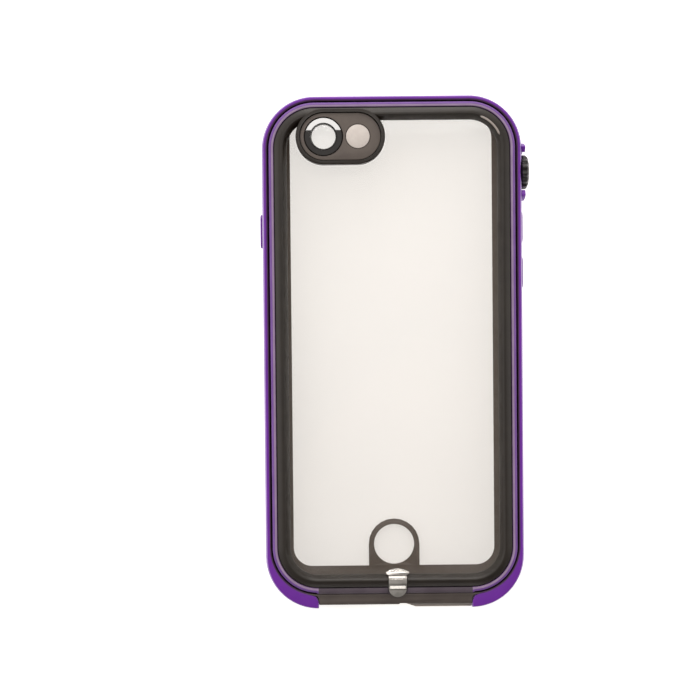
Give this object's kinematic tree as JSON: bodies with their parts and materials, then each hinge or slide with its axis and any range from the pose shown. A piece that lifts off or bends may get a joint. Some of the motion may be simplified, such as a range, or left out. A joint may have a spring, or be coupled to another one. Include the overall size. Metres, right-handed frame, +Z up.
{
  "type": "waterproof phone case",
  "caption": "Slim two-part waterproof case for a 4.7 inch phone, with a clear back, soft bumper, sealed push buttons, a mute dial and a hinged port cover.",
  "frame": {"origin": "on the table under the middle of the phone cavity's width, at the middle of the case's length", "axes": "+Z up out of the clear back, +Y towards the camera end, +X towards the side with the mute dial and volume buttons; the case lies screen side down"},
  "size_m": [0.0784, 0.1491, 0.013],
  "materials": {
    "frame_black": "fine moulded texture",
    "bumper_purple": "satin soft-touch",
    "lip_purple": "satin soft-touch",
    "ridge_black": "semi-gloss moulded",
    "clear_panel": "polished clear",
    "clear_film": "clear film with a grey printed border",
    "seal_rubber": "matt",
    "dial_black": "moulded",
    "door_grey": "moulded",
    "camera_grey": "fine moulded texture",
    "lens_black": "gloss",
    "lens_glass": "polished",
    "flash_diffuser": "frosted",
    "steel": "polished stainless steel",
    "membrane": "fine weave"
  },
  "bodies": {
    "front_half": {"front_frame": "frame_black", "front_window": "clear_film", "touch_film": "clear_film", "bumper": "bumper_purple", "power_button_seal": "seal_rubber", "volume_up_button_seal": "seal_rubber", "volume_down_button_seal": "seal_rubber", "dial_seal": "seal_rubber", "speaker_membrane": "membrane", "port_hinge_pin": "steel"},
    "back_cover": {"back_frame": "ridge_black", "back_trim": "lip_purple", "back_window": "clear_panel", "main_gasket": "seal_rubber", "camera_plate": "camera_grey", "lens_ring": "lens_black", "lens_window": "lens_glass", "flash_window": "flash_diffuser", "lanyard_strip": "steel"},
    "power_key": {"power_button": "bumper_purple", "power_button_clip": "steel"},
    "volume_up_key": {"volume_up_button": "bumper_purple", "volume_up_button_clip": "steel"},
    "volume_down_key": {"volume_down_button": "bumper_purple", "volume_down_button_clip": "steel"},
    "dial": {"mute_dial": "dial_black", "dial_shaft": "steel", "dial_cam": "dial_black"},
    "port_door": {"port_cover": "door_grey", "port_gasket": "seal_rubber"}
  },
  "joints": [
    {"name": "back_cover_lift", "type": "slide", "parent": "front_half", "child": "back_cover", "axis": [0, 0, 1], "range_m": [0, 0.025]},
    {"name": "power_press", "type": "slide", "parent": "front_half", "child": "power_key", "axis": [1, 0, 0], "range_m": [0, 0.0006], "stiffness_N_per_m": 800},
    {"name": "volume_up_press", "type": "slide", "parent": "front_half", "child": "volume_up_key", "axis": [-1, 0, 0], "range_m": [0, 0.0006], "stiffness_N_per_m": 800},
    {"name": "volume_down_press", "type": "slide", "parent": "front_half", "child": "volume_down_key", "axis": [-1, 0, 0], "range_m": [0, 0.0006], "stiffness_N_per_m": 800},
    {"name": "mute_turn", "type": "hinge", "parent": "front_half", "child": "dial", "pos_m": [0.0374, 0.0523, 0.0056], "axis": [1, 0, 0], "range_deg": [0, 90]},
    {"name": "port_cover_turn", "type": "hinge", "parent": "front_half", "child": "port_door", "pos_m": [0.0068, -0.0722, 0.0024], "axis": [1, 0, 0], "range_deg": [0, 90]}
  ]
}
